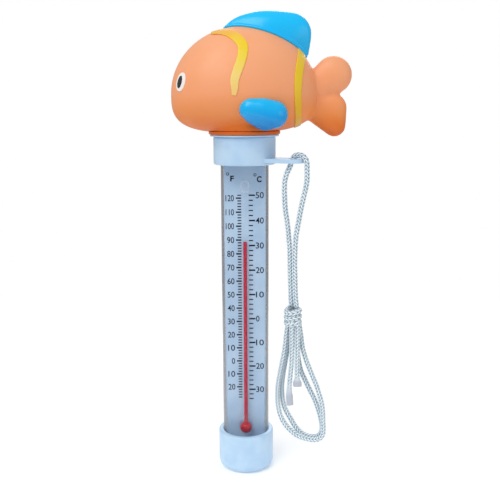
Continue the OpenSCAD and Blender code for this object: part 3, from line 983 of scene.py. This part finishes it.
# %% Degree marks
PRINT_T = 0.04 * MM
print_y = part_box("scale_card")[0].y - PRINT_T / 2
ICE_RISE = 59.3 * MM  # from the bulb's middle to 0 degrees Celsius
TEN_CELSIUS = 12.96 * MM
ice_z = bulb_z + ICE_RISE


def celsius_z(degrees):
    return ice_z + degrees * TEN_CELSIUS / 10


def fahrenheit_z(degrees):
    return celsius_z((degrees - 32) / 1.8)


# Degrees from and to, height of a mark, ends of the long and short marks from the stem outwards in mm
SCALES = [
    ("fahrenheit", range(-28, 123, 2), fahrenheit_z, (-1.84, -4.58, -3.75)),
    ("celsius", range(-34, 51, 2), celsius_z, (1.98, 5.18, 4.09)),
]
MARK_T, LONG_MARK_T = 0.56 * MM, 0.78 * MM
for name, degrees, height_of, (inner, long_end, short_end) in SCALES:
    let_go()
    for degree in degrees:
        long_mark = degree % 10 == 0
        outer = long_end if long_mark else short_end
        bpy.ops.mesh.primitive_cube_add(
            size=1,
            location=((inner + outer) / 2 * MM, print_y, height_of(degree)),
            scale=(abs(outer - inner) * MM, PRINT_T, LONG_MARK_T if long_mark else MARK_T),
        )
        if degree == degrees[0]:
            named(name + "_marks")
            bpy.ops.object.mode_set(mode="EDIT")
    let_go()
    marks = bpy.data.objects[name + "_marks"]
    stands_for(marks, scale_ink, "housing", "card")

# %% Lettering
THIN, BOLD = 0.008, 0.035  # growth of a letter's outline, as shares of its size


def lettering(text, middle, z, width, height, weight=THIN):
    """Flat type made into a thin mesh, fitted to a width and a height."""
    let_go()
    bpy.ops.object.text_add()
    letters = bpy.context.object
    letters.data.body = text
    letters.data.extrude = 0.001
    letters.data.offset = weight
    letters.data.resolution_u = 4
    bpy.ops.object.convert(target="MESH")
    letters = bpy.context.object
    corners = np.array([vertex.co for vertex in letters.data.vertices])
    low, high = corners.min(axis=0), corners.max(axis=0)
    size = Vector((width, height, PRINT_T))
    grow = Matrix.Diagonal((*[size[k] / (high[k] - low[k]) for k in range(3)], 1))
    centre = Matrix.Translation(-Vector((low + high) / 2))
    stand_up = Matrix.Rotation(math.pi / 2, 4, "X")
    letters.matrix_world = Matrix.Translation((middle, print_y, z)) @ stand_up @ grow @ centre
    return named("print")


# %% Numerals and letters
NUMERAL_H = 3.2 * MM
prints = []
for degree in range(-20, 121, 10):
    digits = str(abs(degree))
    width = {1: 1.7, 2: 3.6, 3: 4.2}[len(digits)] * MM
    left, right = -9.8 * MM, -5.6 * MM
    middle = right - width / 2 if len(digits) < 3 else (left + right) / 2
    prints.append(lettering(digits, middle, fahrenheit_z(degree), width, NUMERAL_H))
for degree in range(-30, 51, 10):
    digits = str(abs(degree))
    width = (1.8 if len(digits) == 1 else 4.1) * MM
    prints.append(lettering(digits, 5.5 * MM + width / 2, celsius_z(degree), width, NUMERAL_H))
# Letter, x and z of its middle, width and height in mm, and then x and z of each degree ring
LETTERS = [("F", -6.4, 153.0, 1.9, 2.9), ("C", 7.3, 152.6, 2.4, 3.1)]
RINGS = [(-8.7, 155.3), (5.2, 154.8)]
for letter, *sizes in LETTERS:
    prints.append(lettering(letter, *[size * MM for size in sizes], BOLD))
for x, z in RINGS:
    let_go()
    bpy.ops.mesh.primitive_torus_add(
        location=(x * MM, print_y, z * MM),
        rotation=(math.pi / 2, 0, 0),
        major_radius=0.62 * MM,
        minor_radius=0.14 * MM,
        major_segments=24,
        minor_segments=6,
    )
    prints.append(named("degree_ring"))
numerals = joined(prints)
named("numerals")
stands_for(numerals, scale_ink, "housing", "card")

# %% [markdown]
# ## The fish's body
# The float is one hollow vinyl moulding. Its body starts as a ball. A Cast modifier makes the belly boxier,
# by weights that turn its side view into a superellipse and leave it round from left to right. Then its
# front, back, top and bottom halves are resized on their own. Each tail lobe is a few balls in a tight skin.
# A fine remesh joins them, and smoothing melts the seams into the soft grooves of a rubber toy.

# %% Sizes of the body
fish_low, fish_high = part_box("float_shell")
fin_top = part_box("dorsal_fin")[1].z
foot_z = foot_low.z
FISH_X = -1 * MM
FISH_UP, FISH_DOWN, FISH_BACK = 32.5 * MM, 18.5 * MM, 37 * MM
fish_z = foot_z + 19.2 * MM
fish_front = FISH_X - fish_low.x
fish_half_w = fish_high.y
FRONT_POWER, BACK_POWER = 3.2, 2.9  # squareness of the belly before and behind its middle
TAIL_UPPER = [(34, 21.7, 7), (43.7, 28.4, 9.2)]
TAIL_LOWER = [(35, 12.7, 7), (43, 12.3, 7.6), (44.6, 4, 5.6)]
TAIL_FLAT = 0.62
print("the fish's middle is", round(fish_z / MM, 1), "mm up")


# %% Balls along a row, and halves of a piece
def balls_along(rounds, flat):
    """Balls in the fish's middle plane, from [x, z above the foot, radius] in mm."""
    return [ball((x * MM, 0, foot_z + z * MM), radius * MM, (1, flat, 1)) for x, z, radius in rounds]


def resize_half(piece, axis, sign, factor):
    """Stretches the half of the piece that lies on one side of its middle."""
    hold(piece)
    bpy.ops.object.mode_set(mode="EDIT")
    bpy.ops.mesh.select_mode(type="VERT")
    bpy.ops.mesh.select_all(action="DESELECT")
    bpy.ops.object.mode_set(mode="OBJECT")
    for vertex in piece.data.vertices:
        vertex.select = vertex.co[axis] * sign > 0
    bpy.ops.object.mode_set(mode="EDIT")
    value = [1, 1, 1]
    value[axis] = factor
    bpy.ops.transform.resize(value=value, center_override=piece.location)
    bpy.ops.object.mode_set(mode="OBJECT")


# %% Body with its boxy belly
body = ball((FISH_X, 0, fish_z), fish_half_w, segments=128)
belly = body.vertex_groups.new(name="belly")
for vertex in body.data.vertices:
    reach, across, down = abs(vertex.co.x), abs(vertex.co.y), -vertex.co.z
    if reach > 0.01 * fish_half_w and down > 0.01 * fish_half_w:
        reach, across, down = reach / fish_half_w, across / fish_half_w, down / fish_half_w
        power = 2 + ((FRONT_POWER if vertex.co.x < 0 else BACK_POWER) - 2) * (1 - across**2)
        wanted = math.hypot(reach, down) / (reach**power + down**power) ** (1 / power) - 1
        in_full = 1 / max(reach, across, down) - 1
        belly.add([vertex.index], min(1, wanted / max(in_full, 0.001)), "REPLACE")
modify(body, "CAST", cast_type="CUBOID", factor=1, vertex_group="belly", use_y=False)
resize_half(body, 0, -1, fish_front / fish_half_w)
resize_half(body, 0, 1, FISH_BACK / fish_half_w)
resize_half(body, 2, 1, FISH_UP / fish_half_w)
resize_half(body, 2, -1, FISH_DOWN / fish_half_w)
print("the body is", round((fish_front + FISH_BACK) / MM, 1), "mm long without its tail")

# %% Tail, flare over the foot, and one skin over all
FLARE_R, FLARE_H = 17.6 * MM, 6 * MM
FOOT_LIP = 1.6 * MM
flare = rod(FLARE_R, FLARE_H, (0, 0, foot_z + FOOT_LIP + FLARE_H / 2), 96)
tail_pieces = [skin_over(balls_along(rounds, TAIL_FLAT)) for rounds in (TAIL_UPPER, TAIL_LOWER)]
body = joined([body, flare, *tail_pieces])
fish = named("fish_body")
melted(fish, 0.75 * MM, 7)
corners = (fish.bound_box[0], fish.bound_box[6])
print("fish box in mm:", [[round(c / MM, 1) for c in corner] for corner in corners])


# %% Vinyl finishes
def vinyl(name, bands, roughness, cloud_tint):
    """Soft moulded vinyl. Bands are (mm above the foot, colour) from the lowest to the highest."""
    skin = Finish(name, bands[0][1], roughness, Specular_IOR_Level=0.4)
    low, high = bands[0][0], bands[-1][0]
    ends = {"From Min": foot_z + low * MM, "From Max": foot_z + high * MM}
    height = skin.node("MapRange", {}, {"Value": skin.axis("Z"), **ends})
    stops = [((z - low) / (high - low), colour(shade)) for z, shade in bands]
    tone = skin.node("ValToRGB", {"stops": stops}, {0: height})
    cloud = skin.noise(12 * MM, 3)
    skin.set("Base Color", skin.mix(skin.ramp(cloud, 0.4, 0.75) * 0.25, tone, cloud_tint))
    skin.set("Roughness", roughness - 0.06 + cloud * 0.12)
    skin.bump(skin.noise(0.45 * MM, 2) + cloud * 0.8, 0.06, 0.12 * MM)
    return skin.report()


# The orange deepens towards the foot: partly the vinyl's own tone, partly painted shade on the underside.
orange_bands = [(0, "#d4600f"), (4, "#e0701c"), (10, "#ec8c48"), (20, "#f2a070"), (52, "#f6ae80")]
orange_vinyl = vinyl("orange_fish_vinyl", orange_bands, 0.46, "#f0985e")

# %% Wall and opening of the hollow float
SKIN_T = 1.8 * MM
COLLAR_R = 13 * MM
skin_master = add_object("skin_master", fish.data.copy())
modify(fish, "SOLIDIFY", thickness=SKIN_T, offset=-1)
rod(COLLAR_R + FIT, 12 * MM, (0, 0, foot_z + 1 * MM), 96)
boolean(fish, named("collar_cut"), "DIFFERENCE")
smooth(fish, 40)
stands_for(fish, orange_vinyl, "float", "orange_vinyl", "float_shell")

# %% Foot and collar
foot_r = foot_high.x
collar_top = foot_high.z
foot_stations = [
    (SPIGOT_R + FIT, foot_z),
    (foot_r - 0.3 * MM, foot_z),
    (foot_r, foot_z + 0.3 * MM),
    (foot_r, foot_z + FOOT_LIP - 0.3 * MM),
    (foot_r - 0.3 * MM, foot_z + FOOT_LIP),
    (COLLAR_R, foot_z + FOOT_LIP),
    (COLLAR_R, collar_top),
    (SPIGOT_R + FIT, collar_top),
    (SPIGOT_R + FIT, foot_z),
]
foot = turned("fish_foot", foot_stations)
stands_for(foot, orange_vinyl, "float", "orange_vinyl", "float_foot")

# %% [markdown]
# ## Fins
# The fins are separate plump pieces in blue. They are modelled like the tail, from balls in a tight skin. A
# rolled bead runs along the dorsal fin's lower edge, where it meets the back.

# %% Blue vinyl
# The blue darkens towards the foot, at the side fins' lower edges, and lightens at the top of the dorsal fin:
# painted shade below and a painted highlight above.
blue_bands = [(0, "#0054a4"), (8, "#0098e2"), (17, "#00bff8"), (40, "#00b6f8"), (60, "#00c4fe")]
blue_vinyl = vinyl("blue_fin_vinyl", blue_bands, 0.26, "#18bcfa")

# %% Dorsal fin
DORSAL_ROUNDS = [
    (-9.2, 50.2, 1.4), (-1.5, 50.6, 5.7), (9, 45.7, 13.2), (18, 47.2, 11.2), (25.4, 48.7, 7.3),
    (30.2, 38.4, 1.4),
]  # fmt: skip
DORSAL_FLAT = 0.56
chain = smooth_line(DORSAL_ROUNDS, 1.6)
skin_over(balls_along(chain, DORSAL_FLAT))
dorsal = melted(named("dorsal_fin_pillow"), 0.5 * MM, 6)
print("the dorsal fin is the skin of", len(chain), "balls")

# %% Curves made into meshes
def curve_mesh(name, places, closed=False, **settings):
    """A straight-sided curve through these places, made into a mesh."""
    curve = bpy.data.curves.new(name, "CURVE")
    for key, value in settings.items():
        setattr(curve, key, value)
    spline = curve.splines.new("POLY")
    spline.points.add(len(places) - 1)
    for point, place in zip(spline.points, places):
        point.co = (*place, 1)
    spline.use_cyclic_u = closed
    hold(add_object(name, curve))
    bpy.ops.object.convert(target="MESH")
    return bpy.context.object


# %% Bead along the dorsal fin's foot
BEAD_R, BEAD_UP, BEAD_OUT = 0.8 * MM, 0.45 * MM, 0.35 * MM


def half_width(piece, x, z, side):
    """How far the piece reaches to one side at x and z, or 0 where it isn't."""
    found, point, _, _ = piece.ray_cast(Vector((x, side * 0.06, z)), Vector((0, -side, 0)))
    return max(0, point.y * side) if found else 0


def fin_meets_skin(x, side):
    """The point at x where the side of the dorsal fin comes out of the skin."""
    low, high = fish_z, fin_top
    for _ in range(18):
        middle = (low + high) / 2
        if half_width(skin_master, x, middle, side) > half_width(dorsal, x, middle, side):
            low = middle
        else:
            high = middle
    return (x, side * (half_width(skin_master, x, low, side) + BEAD_OUT), low + BEAD_UP)


beads = []
for side in (-1, 1):
    line = [fin_meets_skin(x * MM, side) for x in np.linspace(-9.0, 30.4, 44)]
    beads.append(curve_mesh("bead", line, dimensions="3D", bevel_depth=BEAD_R, use_fill_caps=True))
joined([dorsal, *beads])
melted(dorsal, 0.32 * MM, 2)
stands_for(dorsal, blue_vinyl, "float", "blue_vinyl", "dorsal_fin")

# %% Side fins
SIDE_FIN_ROUNDS = [
    (2.9, 21.6, 12.4, 5.5), (8.5, 21.4, 11.4, 6.2), (13.9, 21, 9.6, 6.5), (9.8, 19.6, 8.6, 6.5),
    (4.8, 20.6, 10.4, 5.5),
]  # fmt: skip
for name, side in (("left", -1), ("right", 1)):
    places = [((x * MM, side * out * MM, foot_z + z * MM), r * MM) for x, out, z, r in SIDE_FIN_ROUNDS]
    skin_over([ball(place, radius) for place, radius in places])
    fin = named(name + "_fin_pillow")
    melted(fin, 0.4 * MM, 8)
    stands_for(fin, blue_vinyl, "float", "blue_vinyl", name + "_side_fin")

# %% [markdown]
# ## Stripes and eyes
# These are thin raised shapes on the skin. A copy of the skin is thickened a little outwards and inwards,
# and a cutter with the shape's outline keeps only the patch that is wanted. A fine remesh rounds its edges.


# %% Patches on the skin
def on_skin(name, cutter, proud, sunk=0.5 * MM, grain=0.25 * MM, strokes=3):
    patch = add_object(name, skin_master.data.copy())
    thickness = proud + sunk
    modify(patch, "SOLIDIFY", thickness=thickness, offset=2 * proud / thickness - 1)
    boolean(patch, cutter, "INTERSECT")
    patch.data.name = name
    return melted(patch, grain, strokes)


# %% Cutters with an outline
def outline_cutter(name, line, low_y, high_y):
    """A block along Y whose outline follows a middle line of (x, z above the foot, half width) in mm."""
    middle = smooth_line([(x, 0, z) for x, z, _ in line], 1.0)
    widths = smooth_line([(w, 0, k) for k, (_, _, w) in enumerate(line)], 0.1)
    share = np.linspace(0, 1, len(middle))
    half = np.interp(share, np.linspace(0, 1, len(widths)), widths[:, 0])[:, None]
    along = np.gradient(middle, axis=0)
    along /= np.linalg.norm(along, axis=1, keepdims=True)
    normal = np.column_stack([-along[:, 2], 0 * along[:, 0], along[:, 0]])
    edge = np.vstack([middle + normal * half, (middle - normal * half)[::-1]])
    corners = [(x * MM, foot_z + z * MM, 0) for x, _, z in edge]
    half_depth = (high_y - low_y) / 2
    cutter = curve_mesh(name, corners, True, dimensions="2D", fill_mode="BOTH", extrude=half_depth)
    stand_up = Matrix.Rotation(math.pi / 2, 4, "X")
    cutter.matrix_world = Matrix.Translation((0, (low_y + high_y) / 2, 0)) @ stand_up
    return face_out(named(name))


# %% Yellow vinyl
front_bands = [(18, "#efc477"), (27, "#f0d07a"), (36, "#e9cd1a"), (43, "#efcb10"), (49, "#f0b04c")]
rear_bands = [(0, "#c8860c"), (12, "#dda60c"), (26, "#e8c60c"), (40, "#f0c83c")]
front_yellow = vinyl("yellow_front_stripe", front_bands, 0.38, "#f4d860")
rear_yellow = vinyl("yellow_rear_stripe", rear_bands, 0.34, "#f0d030")

# %% Stripes
FRONT_STRIPE = [
    (-15.8, 48.1, 0.8), (-10.9, 48.3, 1.5), (-6.9, 47.4, 2), (-3, 44.8, 2.3), (-0.6, 41.3, 2.4),
    (-0.7, 37, 2.3), (-1.6, 33.6, 2.2), (-3, 29.8, 2.2), (-4.4, 25.4, 2.1), (-4.4, 21.4, 1.9),
    (-4.8, 18.4, 1.1),
]  # fmt: skip
REAR_STRIPE = [
    (28.8, 44, 2.2), (27.1, 35.2, 2.1), (25.8, 28.8, 1.9), (25.2, 20.9, 1.7), (25.5, 13.2, 1.7),
    (26.6, -2, 1.6),
]  # fmt: skip
STRIPE_PROUD = 0.45 * MM
FAR_OUT, NEAR_MIDDLE = 30 * MM, 0.6 * MM
for name, side in (("left", -1), ("right", 1)):
    low_y, high_y = sorted((side * NEAR_MIDDLE, side * FAR_OUT))
    cutter = outline_cutter("stripe_cutter", FRONT_STRIPE, low_y, high_y)
    stripe = on_skin(name + "_front_stripe_raised", cutter, STRIPE_PROUD)
    stands_for(stripe, front_yellow, "float", "yellow_paint", name + "_front_stripe")
cutter = outline_cutter("stripe_cutter", REAR_STRIPE, -FAR_OUT, FAR_OUT)
stripe = on_skin("rear_stripe_raised", cutter, STRIPE_PROUD)
stands_for(stripe, rear_yellow, "float", "yellow_paint", "rear_stripe")

# %% [markdown]
# ## The eyes
# An eye is two ovals of glossy paint, black on white. Each oval is a patch of skin too, cut by a stretched
# cylinder that looks forwards and a little up, and the pupil stands a hair prouder than the white.


# %% Glossy paint
def gloss(name, first, second, roughness):
    return mottled(name, first, second, 2 * MM, roughness, 0.08, 0.05, 0.05 * MM, Coat_Weight=0.3)


white_paint = gloss("eye_white_paint", "#fbf6f2", "#efe6e0", 0.3)
black_paint = gloss("eye_black_paint", "#0b0c12", "#16181f", 0.22)

# %% Eyes
EYE_PLACE = (-31.1, 14.2, 25)  # x, distance out and z above the foot in mm
EYE_TURN, EYE_LEAN = 47, 12
CUTTER_DEPTH = 8 * MM
EYE_PARTS = [
    ("eye_white", "white_paint", white_paint, (6.6, 8.9), 0.0, 0.4),
    ("eye_pupil", "black_paint", black_paint, (3.4, 6), -0.4, 0.55),
]
for side_name, side in (("left", -1), ("right", 1)):
    for node, slot, finish, (width, height), shift, proud in EYE_PARTS:
        cutter = rod(0.5, 1, (0, 0, 0))
        size = Matrix.Diagonal((width * MM, height * MM, CUTTER_DEPTH, 1))
        lean = Matrix.Rotation(math.radians(EYE_LEAN), 4, "Y") @ Matrix.Rotation(math.pi / 2, 4, "X")
        look = Matrix.Rotation(math.radians(side * EYE_TURN), 4, "Z")
        place = Matrix.Translation((EYE_PLACE[0] * MM, side * EYE_PLACE[1] * MM, foot_z + EYE_PLACE[2] * MM))
        cutter.matrix_world = place @ look @ Matrix.Translation((shift * MM, 0, 0)) @ lean @ size
        eye = on_skin(f"{side_name}_{node}_disc", named("eye_cutter"), proud * MM, grain=0.15 * MM)
        stands_for(eye, finish, "float", slot, f"{side_name}_{node}")
bpy.data.objects.remove(skin_master)

# %% [markdown]
# ## What is hidden
# The weight, its foam pad and the rubber rings keep their CAD shapes. They can be seen only when the model
# is taken apart, and they still get real finishes.


# %% Hidden pieces
def steel_finish():
    steel = Finish("turned_steel", "#a9adb2", 0.3, Metallic=1.0)
    rings = steel.noise(0.8 * MM, 2, (1, 1, 8))
    steel.set("Base Color", steel.mix(rings, "#b4b8bc", "#8f9398"))
    steel.set("Roughness", 0.22 + rings * 0.2)
    steel.bump(rings, 0.1, 0.05 * MM)
    return steel.report()


foam = mottled("grey_open_foam", "#b9bdc2", "#8d9297", 0.4 * MM, 0.75, 0.2, 0.4, 0.1 * MM, 4)
rubber = mottled("black_ring_rubber", "#202226", "#303338", 0.3 * MM, 0.6, 0.2, 0.4, 0.1 * MM, 4)
HIDDEN = {"ballast_slug": steel_finish(), "ballast_pad": foam, "lower_gasket": rubber, "upper_gasket": rubber}
for node, finish in HIDDEN.items():
    finish.wrap(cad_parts[node])
